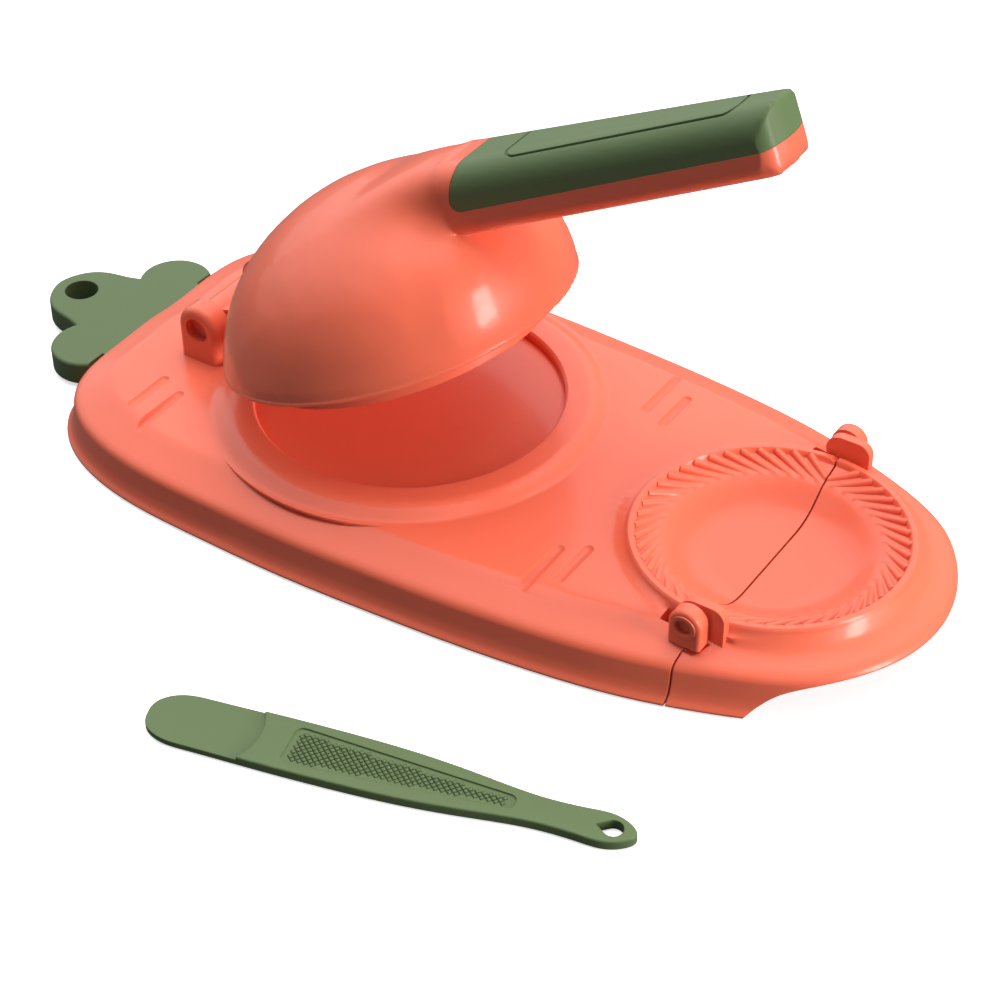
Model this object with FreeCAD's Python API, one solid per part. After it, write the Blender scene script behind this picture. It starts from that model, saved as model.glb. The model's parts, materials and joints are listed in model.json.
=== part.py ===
import FreeCAD, Part
import math
import os
from FreeCAD import Vector

# Dumpling press in millimetres. The press well is centred on the origin, the table is z = 0,
# the folding tip points to +X and the leaf to -X.

# Tray
WALL = 2.4
LIP_Z = 0.6
TRAY_TOP = 19.5
APRON = 18.5
SPLIT_GAP = 0.6
TRAY_OUTLINE = [
    (-112.8, 22.0), (-111.2, 42.0), (-104.2, 56.2), (-92.9, 65.8), (-80.8, 71.6), (-63.7, 76.0),
    (-28.4, 78.6), (4.7, 79.2), (34.8, 78.0), (63.8, 76.2), (91.1, 73.4), (117.1, 69.2),
    (135.8, 64.3), (154.6, 57.6), (174.0, 47.6), (189.0, 30.5),
]
BACK_X = -112.9
TIP_END = 197.3
SKIRT = [
    (0.0, LIP_Z), (0.0, 1.2), (0.9, 2.2), (2.0, 3.4), (2.8, 6.5), (3.4, 11.4), (3.8, 12.6),
    (4.8, 13.7), (6.5, 14.6), (10.0, 16.0), (14.0, 17.8), (16.4, 18.9), (APRON, TRAY_TOP),
]

# Press ring and well
WELL_R = 51.5
RING_WIDTH = 8.7
RING_R = WELL_R + RING_WIDTH
RING_FOOT_R = RING_R + 7.3
RING_TOP = 22.9

# Crimp mould and the fold between tray and tip
MOULD_X = 136.0
RIM_R = 45.0
RIM_FOOT_R = RIM_R + 2.4
RIM_INNER_R = RIM_R - 2.6
RIM_TOP = 22.8
BOWL_R = RIM_R - 11.4
BOWL_EDGE = 18.0
BOWL_FLOOR = 10.5
VALLEY_TOP = 20.9
TOOTH_R = 1.2
TOOTH_IN_R = RIM_R - 9.4
TOOTH_IN_Z = 17.5
TOOTH_COUNT = 24
TOOTH_SLANT = -15.8
FOLD_Z = 24.5
FOLD_PIN_R = 2.7
FOLD_PIN_CLEAR = 0.05
FOLD_PIN_IN = RIM_R + 1.6
FOLD_GAP = 0.3
FOLD_RELIEF = 0.7
FOLD_BRACKET_IN = RIM_R + 0.3
FOLD_BRACKET_OUT = RIM_R + 3.4
FOLD_BRACKET_R = 5.2
FOLD_BRACKET_REACH = 10.0
FOLD_BRACKET_ROUND = 4.2
FOLD_BRACKET_FOOT = 15.6
FOLD_EAR_IN = RIM_R + 4.6
FOLD_EAR_OUT = FOLD_EAR_IN + 5.0
FOLD_EAR_R = 5.5
FOLD_EAR_FOOT = 16.0
FOLD_EAR_EDGE = 1.3
FOLD_RING_R = 4.0
FOLD_RING_H = 0.5
FOLD_SLOT_FLOOR = 14.4
FOLD_SLOT_WALL = 1.6

# Finger lift under the tip: distance past the fold and height of the lower edge
LIFT = [(20.0, -2.0), (22.5, 1.2), (26.0, 5.0), (30.0, 8.3), (35.0, 10.4), (43.0, 11.8), (75.0, 12.0)]

# Lid hinge
HINGE_BACK = 20.8
HINGE_X = -WELL_R - HINGE_BACK
HINGE_Z = 31.9
HINGE_EAR_IN = 13.8
HINGE_EAR_OUT = 21.8
HINGE_EAR_R = 8.2
HINGE_EAR_EDGE = 2.6
HINGE_PIN_R = 4.4
HINGE_PIN_CLEAR = 0.05
HINGE_PIN_END = 18.6
BARREL_R = 5.8
BARREL_HALF = HINGE_EAR_IN - 0.4
LID_OPEN = 20.2

# Lid, drawn closed and then swung open
RIM_Z = 27.7
DOME_R = WELL_R + RING_WIDTH
DOME_H = 48.9
DOME_LEAN = 10.8
BEAD_R = 0.8
PLATE_R = WELL_R - 0.7
PLATE_Z = 20.2
PLATE_FLANGE_R = DOME_R - 3.8
PLATE_SCREW_R = DOME_R - 6.2
PLATE_SCREWS = 4

# Handle, along its own slope from the root of the green cover
HANDLE_ROOT = (DOME_R - 11.3, 69.2)
HANDLE_SLOPE = 6.9
COVER_LEAN = 6.3
COVER_CORNER = 3.0
HANDLE_LENGTH = 117.0
HANDLE_HALF_ROOT = 15.4
HANDLE_HALF_END = 11.2
HANDLE_TOP_ROOT = 13.6
HANDLE_TOP_END = 11.5
HANDLE_BOTTOM = 9.0
HANDLE_END_TILT = 6.0
HANDLE_UPPER_R = 8.6
HANDLE_LOWER_R = 5.5
HANDLE_WALL = 2.4
HANDLE_SCREW_AT = (24.0, 92.0)
ENGRAVE_FROM = 22.5
ENGRAVE_TO = 105.5
ENGRAVE_HALF = (10.2, 6.8)
ENGRAVE_CORNER = 5.0
ENGRAVE_DEPTH = 0.6
ENGRAVE_WIDTH = 0.9

# Leaf with its hanging hole
LEAF_TOP = 9.5
LEAF_BOTTOM = 0.6
LEAF_HOLE_X = -145.5
LEAF_HOLE_R = 6.0
LEAF_LOBE = [
    (-156.2, 0.0), (-154.4, 6.4), (-150.2, 11.8), (-144.4, 14.8), (-136.8, 16.4), (-130.6, 18.4),
    (-122.0, 18.6),
]
SIDE_LOBE_AT = (-121.6, 24.0)
SIDE_LOBE_R = 13.0
LEAF_GAP = 0.3
TONGUE_HALF = 26.0
TONGUE_END = -94.0
LEAF_SCREW_AT = [(-100.0, -15.0), (-100.0, 15.0)]

# Screws and feet
SCREW_R = 1.4
SCREW_HEAD_R = 2.5
SCREW_HEAD_H = 1.7
SCREW_CLEAR = 0.05
FOOT_R = 5.5
FOOT_PLUG_R = 2.5
FOOT_AT = [(0.0, 0.0), (-80.0, -46.0), (-80.0, 46.0), (108.0, -46.0), (108.0, 46.0)]
POST_R = 6.2
POST_Z = 2.6

# Shallow grooves in the tray: x, y from, y to
GROOVE_R = 2.1
GROOVE_DEPTH = 0.9
GROOVES = [
    (-75.6, -53.2, -36.2), (-66.0, -61.0, -40.2), (83.2, -60.0, -39.0), (90.8, -51.0, -34.2),
    (69.0, 37.0, 57.4), (77.6, 33.0, 49.0), (-82.0, 37.0, 55.0), (-73.0, 40.5, 60.0),
]

# Spatula, along its own axis from the blade's end
SPATULA_AT = (10.2, -149.6)
SPATULA_TURN = 13.2
SPATULA_OUTLINE = [
    (1.6, 5.6), (6.6, 9.0), (16.0, 10.1), (40.0, 10.4), (62.0, 10.3), (84.0, 9.4), (104.0, 7.2),
    (122.0, 5.2), (136.0, 5.6), (146.0, 4.8),
]
SPATULA_LENGTH = 151.0
SPATULA_THICK = 3.4
BLADE_THICK = 2.3
BLADE_STEP = 36.0
BLADE_STEP_R = 19.0
GRIP_FROM = 45.0
GRIP_TO = 115.0
GRIP_HALF = (7.6, 2.6)
GRIP_DEPTH = 0.5
EYE_U = 144.0
EYE_R = 3.1
EYE_POINT = 5.2


def box(x0, x1, y0, y1, z0, z1):
    return Part.makeBox(x1 - x0, y1 - y0, z1 - z0, Vector(x0, y0, z0))


def post(x, y, radius, z0, z1):
    return Part.makeCylinder(radius, z1 - z0, Vector(x, y, z0), Vector(0, 0, 1))


def rod(x, z, radius, y0, y1):
    return Part.makeCylinder(radius, y1 - y0, Vector(x, y0, z), Vector(0, 1, 0))


def fused(shapes):
    return shapes[0].multiFuse(shapes[1:]).removeSplitter()


def spline(points, closed=False):
    curve = Part.BSplineCurve()
    curve.interpolate(points, PeriodicFlag=closed)
    return curve


def turned(edges, x):
    """Solid of revolution about the upright line through x on the centre line."""
    face = Part.Face(Part.Wire(edges))
    solid = face.revolve(Vector(0, 0, 0), Vector(0, 0, 1), 360)
    solid.translate(Vector(x, 0, 0))
    return solid


def lines(points):
    return [Part.makeLine(a, b) for a, b in zip(points[:-1], points[1:])]


def plan_points():
    """The skirt's lower edge all round, with its inward normals."""
    half = [Vector(x, y, 0) for x, y in TRAY_OUTLINE]
    other = [Vector(x, -y, 0) for x, y in reversed(TRAY_OUTLINE)]
    loop = spline([Vector(BACK_X, 0, 0)] + half + [Vector(TIP_END, 0, 0)] + other, True)
    count = 48
    at = [loop.parameterAtDistance(loop.length() * i / count, loop.FirstParameter) for i in range(count)]
    points = [loop.value(u) for u in at]
    inward = []
    for u in at:
        along = Vector(*loop.tangent(u)[0])
        inward.append(Vector(along.y, -along.x, 0).normalize())
    return points, inward


def tray_loft(levels):
    points, inward = plan_points()
    wires = []
    for offset, z in levels:
        ring = [p + n * offset + Vector(0, 0, z) for p, n in zip(points, inward)]
        wires.append(Part.Wire(spline(ring, True).toShape()))
    return Part.makeLoft(wires, True, True)


def tray_inside():
    under = TRAY_TOP - WALL
    return tray_loft([
        (2.0, LIP_Z - 1.5), (2.0, 0.9), (4.4, 3.6), (5.2, 6.5), (5.9, 10.2), (8.0, 11.8), (11.0, 13.2),
        (15.0, 15.0), (APRON + 1.5, under),
    ])


def ring_solid():
    top = RING_TOP
    slope = spline([
        Vector(RING_FOOT_R, 0, TRAY_TOP), Vector(RING_R + 4.4, 0, TRAY_TOP + 0.8),
        Vector(RING_R + 2.0, 0, top - 1.0), Vector(RING_R, 0, top - 0.25), Vector(RING_R - 1.4, 0, top),
    ]).toShape()
    inner = lines([
        Vector(RING_R - 1.4, 0, top), Vector(WELL_R + 0.8, 0, top), Vector(WELL_R, 0, top - 0.8),
        Vector(WELL_R, 0, TRAY_TOP - 1), Vector(RING_FOOT_R, 0, TRAY_TOP - 1),
        Vector(RING_FOOT_R, 0, TRAY_TOP),
    ])
    return turned([slope] + inner, 0)


def mould_solid():
    under = TRAY_TOP - WALL
    rim = spline([
        Vector(RIM_FOOT_R, 0, TRAY_TOP), Vector(RIM_R + 1.2, 0, TRAY_TOP + 0.5),
        Vector(RIM_R + 0.4, 0, RIM_TOP - 1.6), Vector(RIM_R, 0, RIM_TOP - 0.6),
    ]).toShape()
    crown = lines([
        Vector(RIM_R, 0, RIM_TOP - 0.6), Vector(RIM_R - 0.6, 0, RIM_TOP),
        Vector(RIM_INNER_R + 0.5, 0, RIM_TOP), Vector(RIM_INNER_R, 0, RIM_TOP - 0.5),
        Vector(RIM_INNER_R - 0.4, 0, VALLEY_TOP), Vector(BOWL_R, 0, BOWL_EDGE),
    ])
    bowl = spline([
        Vector(BOWL_R, 0, BOWL_EDGE), Vector(BOWL_R - 3.2, 0, BOWL_FLOOR + 5.1),
        Vector(BOWL_R - 7.6, 0, BOWL_FLOOR + 2.1), Vector(BOWL_R - 12.6, 0, BOWL_FLOOR + 0.4),
        Vector(BOWL_R - 17.6, 0, BOWL_FLOOR),
    ]).toShape()
    below = lines([
        Vector(BOWL_R - 17.6, 0, BOWL_FLOOR), Vector(0, 0, BOWL_FLOOR), Vector(0, 0, BOWL_FLOOR - WALL),
        Vector(BOWL_R - 16.6, 0, BOWL_FLOOR - WALL), Vector(BOWL_R - 6.0, 0, BOWL_FLOOR - 0.1),
        Vector(BOWL_R + 1.0, 0, BOWL_EDGE - WALL), Vector(BOWL_R + 5.4, 0, under),
        Vector(RIM_FOOT_R, 0, under), Vector(RIM_FOOT_R, 0, TRAY_TOP),
    ])
    return turned([rim] + crown + [bowl] + below, MOULD_X)


def mould_teeth():
    """Slanted ridges from the rim down to the bowl, the same number on both halves."""
    teeth = []
    pitch = 180 / TOOTH_COUNT
    outer, high = RIM_INNER_R + 0.4, RIM_TOP - TOOTH_R - 0.1
    for half in (0, 1):
        for i in range(TOOTH_COUNT):
            turn = math.radians(half * 180 - 90 + (i + 0.5) * pitch)
            lean = math.radians(TOOTH_SLANT if half == 0 else -TOOTH_SLANT) / 2
            a = Vector(outer * math.cos(turn + lean), outer * math.sin(turn + lean), high)
            b = Vector(TOOTH_IN_R * math.cos(turn - lean), TOOTH_IN_R * math.sin(turn - lean), TOOTH_IN_Z)
            ridge = Part.makeCylinder(TOOTH_R, (a - b).Length, b, a - b)
            ridge.translate(Vector(MOULD_X, 0, 0))
            teeth.append(ridge)
    return teeth


def groove(x, y0, y1, floor):
    """Round-ended cutter that follows the apron's slope at its outer end."""
    inner = min((y0, y1), key=abs)
    outer = max((y0, y1), key=abs)
    drop = max(0.0, abs(outer) - 58.0) * 0.45
    a = Vector(x, inner, floor)
    b = Vector(x, outer, floor - drop)
    bar = Part.makeCylinder(GROOVE_R, (b - a).Length, a, b - a)
    ends = [Part.makeSphere(GROOVE_R, a), Part.makeSphere(GROOVE_R, b)]
    return fused([bar] + ends)


def round_ear(x, z, radius, foot, inner, outer, edge):
    """Upright plate with a round head on a pin's axis, softened round its outer face."""
    a, b = Vector(x - radius, inner, foot), Vector(x + radius, inner, foot)
    c, d = Vector(x + radius, inner, z), Vector(x - radius, inner, z)
    head = Part.Arc(c, Vector(x, inner, z + radius), d).toShape()
    outline = Part.Wire([Part.makeLine(a, b), Part.makeLine(b, c), head, Part.makeLine(d, a)])
    plate = Part.Face(outline).extrude(Vector(0, outer - inner, 0))
    rims = [e for e in plate.Edges if e.BoundBox.YLength < 0.01 and abs(e.BoundBox.YMin - outer) < 0.01]
    return plate.makeFillet(edge, [e for e in rims if e.BoundBox.ZMax > foot + 1])


def hinge_ear(side):
    inner, outer = side * HINGE_EAR_IN, side * HINGE_EAR_OUT
    return round_ear(HINGE_X, HINGE_Z, HINGE_EAR_R, TRAY_TOP - 1.5, inner, outer, HINGE_EAR_EDGE)


def fold_ear(side):
    inner, outer = side * FOLD_EAR_IN, side * FOLD_EAR_OUT
    plate = round_ear(MOULD_X, FOLD_Z, FOLD_EAR_R, FOLD_EAR_FOOT, inner, outer, FOLD_EAR_EDGE)
    low = [e for e in plate.Edges if e.BoundBox.ZMax < FOLD_EAR_FOOT + 0.1 and e.BoundBox.XMin > MOULD_X + 1]
    y0, y1 = sorted((inner, outer - side * FOLD_EAR_EDGE))
    back = MOULD_X - FOLD_EAR_R + FOLD_EAR_EDGE
    root = box(back, MOULD_X - SPLIT_GAP, y0, y1, FOLD_EAR_FOOT - 2.0, FOLD_EAR_FOOT + 3.0)
    y0, y1 = sorted((side * FOLD_EAR_IN, side * (FOLD_EAR_OUT + FOLD_RING_H)))
    ring = rod(MOULD_X, FOLD_Z, FOLD_RING_R, y0, y1)
    return fused([plate.makeFillet(1.6, low), root, ring])


def fold_bracket(side):
    """Plate on the tip, round over the pin and longer toward the tip's end."""
    y0, y1 = sorted((side * FOLD_BRACKET_IN, side * FOLD_BRACKET_OUT))
    top = FOLD_Z + FOLD_BRACKET_R
    far = MOULD_X + FOLD_BRACKET_REACH
    head = rod(MOULD_X, FOLD_Z, FOLD_BRACKET_R, y0, y1)
    corner = rod(far - FOLD_BRACKET_ROUND, top - FOLD_BRACKET_ROUND, FOLD_BRACKET_ROUND, y0, y1)
    bridge = box(MOULD_X, far - FOLD_BRACKET_ROUND, y0, y1, FOLD_Z, top)
    foot = box(MOULD_X + SPLIT_GAP, far, y0, y1, FOLD_BRACKET_FOOT, top - FOLD_BRACKET_ROUND)
    y0, y1 = sorted((side * FOLD_BRACKET_IN, side * (FOLD_EAR_IN - FOLD_GAP)))
    washer = rod(MOULD_X, FOLD_Z, FOLD_RING_R, y0, y1)
    return fused([head, corner, bridge, foot, washer])


def fold_slot(side):
    """Room in the tray for the tip's plate when it is folded over."""
    y0, y1 = sorted((side * (FOLD_BRACKET_IN - FOLD_GAP), side * FOLD_EAR_IN))
    reach = FOLD_BRACKET_REACH + FOLD_RELIEF
    well = box(MOULD_X - reach, MOULD_X, y0, y1, FOLD_SLOT_FLOOR, FOLD_Z + FOLD_BRACKET_R)
    return well.fuse(rod(MOULD_X, FOLD_Z, FOLD_BRACKET_R + FOLD_RELIEF, y0, y1))


def fold_pocket(side):
    """Walls and floor of the slot, below the tray's skin."""
    wall = FOLD_SLOT_WALL
    y0, y1 = sorted((side * (FOLD_BRACKET_IN - FOLD_GAP - wall), side * (FOLD_EAR_IN + wall)))
    back = MOULD_X - FOLD_BRACKET_REACH - FOLD_RELIEF - wall
    return box(back, MOULD_X - SPLIT_GAP / 2, y0, y1, FOLD_SLOT_FLOOR - wall, TRAY_TOP - WALL + 0.6)


def lift_cut():
    curve = spline([Vector(MOULD_X + x, -90, z) for x, z in LIFT]).toShape()
    end = MOULD_X + LIFT[-1][0]
    start = MOULD_X + LIFT[0][0]
    rest = lines([
        Vector(end, -90, LIFT[-1][1]), Vector(end, -90, -5), Vector(start, -90, -5),
        Vector(start, -90, LIFT[0][1]),
    ])
    return Part.Face(Part.Wire([curve] + rest)).extrude(Vector(0, 180, 0))


def whole_tray():
    """Tray and tip in one, before the cut at the fold."""
    body = tray_loft(SKIRT).cut(tray_inside())
    body = body.cut(post(MOULD_X, 0, RIM_R - 0.5, 5.0, 30.0))
    body = body.fuse([ring_solid(), mould_solid()])
    for x, y0, y1 in GROOVES:
        body = body.cut(groove(x, y0, y1, TRAY_TOP - GROOVE_DEPTH + GROOVE_R))
    return body


def tray_pieces():
    body = whole_tray()
    teeth = mould_teeth()
    base = body.common(box(-130, MOULD_X - SPLIT_GAP / 2, -90, 90, -5, 60))
    tip = body.common(box(MOULD_X + SPLIT_GAP / 2, 230, -90, 90, -5, 60))

    reach = math.hypot(FOLD_EAR_R - 0.6, FOLD_Z - FOLD_EAR_FOOT - 0.6) + FOLD_RELIEF
    for side in (-1, 1):
        base = base.fuse(fold_pocket(side)).cut(fold_slot(side))
        out0, out1 = sorted((side * (FOLD_EAR_IN - FOLD_GAP), side * (FOLD_EAR_OUT + FOLD_GAP)))
        tip = tip.cut(rod(MOULD_X, FOLD_Z, reach, out0, out1))
    base = base.fuse([fold_ear(-1), fold_ear(1), hinge_ear(-1), hinge_ear(1)])
    rear = box(0, MOULD_X - SPLIT_GAP / 2, -90, 90, -5, 60)
    front = box(MOULD_X + SPLIT_GAP / 2, 230, -90, 90, -5, 60)
    base = base.fuse([t.common(rear) for t in teeth if t.BoundBox.Center.x < MOULD_X])
    tip = tip.fuse([fold_bracket(-1), fold_bracket(1)])
    tip = tip.fuse([t.common(front) for t in teeth if t.BoundBox.Center.x > MOULD_X])
    base = base.common(box(-130, MOULD_X + 20, -90, 90, -5, 60))
    base = base.cut(box(MOULD_X - SPLIT_GAP / 2, MOULD_X + 20, -FOLD_EAR_IN, FOLD_EAR_IN, -5, 60))
    tip = tip.cut(lift_cut())

    below = TRAY_TOP - WALL + 0.4
    posts = [post(x, y, POST_R, POST_Z, below) for x, y in FOOT_AT]
    bosses = [post(x, y, 4.0, LEAF_TOP, 15.4) for x, y in LEAF_SCREW_AT]
    ribs = [box(-46, 46, y - 1.0, y + 1.0, 11.5, below) for y in (-26.0, 0.0, 26.0)]
    ribs += [box(x - 1.0, x + 1.0, -46, 46, 11.5, below) for x in (-26.0, 0.0, 26.0)]
    base = base.fuse(posts + bosses + ribs)
    way = TONGUE_HALF + LEAF_GAP
    base = base.cut(box(BACK_X - 12, BACK_X + 9, -way, way, -5, LEAF_TOP + LEAF_GAP))
    for x, y in FOOT_AT:
        base = base.cut(post(x, y, FOOT_PLUG_R + SCREW_CLEAR, 0, POST_Z + 4.2))
    for x, y in LEAF_SCREW_AT:
        base = base.cut(post(x, y, SCREW_R + SCREW_CLEAR, LEAF_TOP - 1, LEAF_TOP + 4.6))
    hole = HINGE_PIN_R + HINGE_PIN_CLEAR
    base = base.cut(rod(HINGE_X, HINGE_Z, hole, -HINGE_EAR_OUT - 1, HINGE_EAR_OUT + 1))
    base = base.cut(rod(MOULD_X, FOLD_Z, FOLD_PIN_R + FOLD_PIN_CLEAR, -70, 70))
    for side in (-1, 1):
        y0, y1 = sorted((side * FOLD_PIN_IN, side * 60.0))
        tip = tip.cut(rod(MOULD_X, FOLD_Z, FOLD_PIN_R, y0, y1))
    return base.removeSplitter(), tip.removeSplitter()


def fold_pin(side):
    y0, y1 = sorted((side * FOLD_PIN_IN, side * (FOLD_EAR_OUT - 1.2)))
    return rod(MOULD_X, FOLD_Z, FOLD_PIN_R, y0, y1)


def leaf():
    half = [Vector(x, y, LEAF_BOTTOM) for x, y in LEAF_LOBE[1:]]
    other = [Vector(x, -y, LEAF_BOTTOM) for x, y in reversed(LEAF_LOBE[1:])]
    edge = spline(other + [Vector(LEAF_LOBE[0][0], 0, LEAF_BOTTOM)] + half).toShape()
    close = Part.makeLine(half[-1], other[0])
    height = LEAF_TOP - LEAF_BOTTOM
    middle = Part.Face(Part.Wire([edge, close])).extrude(Vector(0, 0, height))
    lobes = [post(SIDE_LOBE_AT[0], s * SIDE_LOBE_AT[1], SIDE_LOBE_R, LEAF_BOTTOM, LEAF_TOP) for s in (-1, 1)]
    core = box(-124, -110, -SIDE_LOBE_AT[1], SIDE_LOBE_AT[1], LEAF_BOTTOM, LEAF_TOP)
    blade = fused([middle, core] + lobes)
    blade = blade.common(box(-170, BACK_X - LEAF_GAP, -50, 50, -5, 20))
    clear = BACK_X - 2 * LEAF_GAP
    upper = [e for e in blade.Edges if e.BoundBox.ZMin > LEAF_TOP - 0.1 and e.BoundBox.XMin < clear]
    blade = blade.makeFillet(1.1, upper)
    lower = [e for e in blade.Edges if e.BoundBox.ZMax < LEAF_BOTTOM + 0.1 and e.BoundBox.XMin < clear]
    blade = blade.makeFillet(1.4, lower)
    tongue = box(BACK_X - 1.1, TONGUE_END, -TONGUE_HALF, TONGUE_HALF, LEAF_BOTTOM + 0.4, LEAF_TOP)
    solid = blade.fuse(tongue).removeSplitter()
    solid = solid.cut(post(LEAF_HOLE_X, 0, LEAF_HOLE_R, -5, 20))
    for x, y in LEAF_SCREW_AT:
        solid = solid.cut(post(x, y, SCREW_R + 0.3, -5, 20))
        solid = solid.cut(post(x, y, SCREW_HEAD_R + 0.3, -5, LEAF_BOTTOM + 3.4))
    return solid


def screw(length):
    """Screw pointing up, with the seat of its head at z = 0 and a cross slot below."""
    head = Part.makeCylinder(SCREW_HEAD_R, SCREW_HEAD_H, Vector(0, 0, -SCREW_HEAD_H))
    shank = Part.makeCylinder(SCREW_R, length, Vector(0, 0, -0.1))
    slot = box(-1.8, 1.8, -0.35, 0.35, -SCREW_HEAD_H - 1, -SCREW_HEAD_H + 0.8)
    cross = box(-0.35, 0.35, -1.8, 1.8, -SCREW_HEAD_H - 1, -SCREW_HEAD_H + 0.8)
    return head.fuse(shank).removeSplitter().cut(slot.fuse(cross))


def foot(x, y):
    pad = post(x, y, FOOT_R, 0, POST_Z)
    rims = [e for e in pad.Edges if e.BoundBox.ZMax < 0.01 and e.BoundBox.XLength > 1]
    pad = pad.makeFillet(0.6, rims)
    return pad.fuse(post(x, y, FOOT_PLUG_R, POST_Z - 0.5, POST_Z + 4.0)).removeSplitter()


def leaning(shape):
    """Leans the lid's crown toward the handle."""
    k = DOME_LEAN / DOME_H
    lean = FreeCAD.Matrix(1, 0, k, -k * RIM_Z, 0, 1, 0, 0, 0, 0, 1, 0, 0, 0, 0, 1)
    return shape.transformGeometry(lean)


def dome_solid(radius, height):
    """Upper half of a flattened ball on the rim's plane."""
    arc = Part.ArcOfEllipse(Part.Ellipse(Vector(0, 0, RIM_Z), radius, height), 0, math.pi / 2)
    edge = arc.toShape()
    edge.rotate(Vector(0, 0, RIM_Z), Vector(1, 0, 0), 90)
    base = Part.makeLine(Vector(0, 0, RIM_Z), Vector(radius, 0, RIM_Z))
    axis = Part.makeLine(Vector(0, 0, RIM_Z + height), Vector(0, 0, RIM_Z))
    return leaning(turned([base, edge, axis], 0))


def section(x, half, top, bottom, upper, lower):
    """Rounded cross-section of the handle at one place along it."""
    def p(y, z):
        return Vector(x, y, z)
    k = 1 - math.sqrt(0.5)
    a = [p(-half, 0), p(-half, top - upper), p(-half + upper * k, top - upper * k), p(-half + upper, top)]
    b = [p(half - upper, top), p(half - upper * k, top - upper * k), p(half, top - upper), p(half, 0)]
    c = [p(half, -bottom + lower), p(half - lower * k, -bottom + lower * k), p(half - lower, -bottom)]
    d = [p(-half + lower, -bottom), p(-half + lower * k, -bottom + lower * k), p(-half, -bottom + lower)]
    return Part.Wire([
        Part.makeLine(a[0], a[1]), Part.Arc(a[1], a[2], a[3]).toShape(), Part.makeLine(a[3], b[0]),
        Part.Arc(b[0], b[1], b[2]).toShape(), Part.makeLine(b[2], b[3]), Part.makeLine(b[3], c[0]),
        Part.Arc(c[0], c[1], c[2]).toShape(), Part.makeLine(c[2], d[0]), Part.Arc(d[0], d[1], d[2]).toShape(),
        Part.makeLine(d[2], a[0]),
    ])


def handle_half(x):
    return HANDLE_HALF_ROOT + (HANDLE_HALF_END - HANDLE_HALF_ROOT) * x / HANDLE_LENGTH


def handle_top(x):
    return HANDLE_TOP_ROOT + (HANDLE_TOP_END - HANDLE_TOP_ROOT) * x / HANDLE_LENGTH


def handle_loft(x0, x1, inset):
    bottom = HANDLE_BOTTOM - inset
    upper, lower = HANDLE_UPPER_R - inset * 0.6, HANDLE_LOWER_R - inset * 0.6
    wires = [section(x, handle_half(x) - inset, handle_top(x) - inset, bottom, upper, lower) for x in (x0, x1)]
    return Part.makeLoft(wires, True, True)


def handle_end():
    """Plan of the handle's convex end, as a tall leaning prism that keeps what lies inside."""
    b = HANDLE_HALF_END
    n = HANDLE_LENGTH

    def p(x, y):
        return Vector(x, y, -40)
    near = Part.Arc(p(n - 5.8, -b - 0.4), p(n - 2.8, -b + 1.6), p(n - 1.2, -b + 4.8)).toShape()
    tip = Part.Arc(p(n - 1.2, -b + 4.8), p(n, 0), p(n - 1.2, b - 4.8)).toShape()
    far = Part.Arc(p(n - 1.2, b - 4.8), p(n - 2.8, b - 1.6), p(n - 5.8, b + 0.4)).toShape()
    rest = lines([
        p(n - 5.8, b + 0.4), p(n - 5.8, 40), p(-90, 40), p(-90, -40), p(n - 5.8, -40), p(n - 5.8, -b - 0.4),
    ])
    prism = Part.Face(Part.Wire([near, tip, far] + rest)).extrude(Vector(0, 0, 80))
    prism.rotate(Vector(n, 0, 0), Vector(0, 1, 0), HANDLE_END_TILT)
    return prism


def neck():
    """Neck that widens from the handle's root into the dome."""
    wires = [
        section(0.0, HANDLE_HALF_ROOT, HANDLE_TOP_ROOT, HANDLE_BOTTOM, HANDLE_UPPER_R, HANDLE_LOWER_R),
        section(-13.0, HANDLE_HALF_ROOT + 2.0, HANDLE_TOP_ROOT + 1.0, HANDLE_BOTTOM + 2.5, 9.4, 7.0),
        section(-30.0, HANDLE_HALF_ROOT + 10.6, HANDLE_TOP_ROOT - 1.6, HANDLE_BOTTOM + 9.0, 11.0, 11.0),
        section(-54.0, 38.0, 2.0, 30.0, 1.5, 14.0),
    ]
    return Part.makeLoft(wires, True, False)


def on_handle(shape):
    """Places a shape from the handle's own axes on the closed lid."""
    shape = shape.copy()
    shape.rotate(Vector(0, 0, 0), Vector(0, 1, 0), -HANDLE_SLOPE)
    shape.translate(Vector(HANDLE_ROOT[0], 0, HANDLE_ROOT[1]))
    return shape


def rounded_plan(x0, x1, half0, half1, corner, z0, z1):
    """Tapered prism with rounded upright corners."""
    corners = [Vector(x0, -half0, z0), Vector(x1, -half1, z0), Vector(x1, half1, z0), Vector(x0, half0, z0)]
    prism = Part.Face(Part.Wire(lines(corners + corners[:1]))).extrude(Vector(0, 0, z1 - z0))
    uprights = [e for e in prism.Edges if e.BoundBox.ZLength > 0.5 * (z1 - z0)]
    return prism.makeFillet(corner, uprights)


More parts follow.
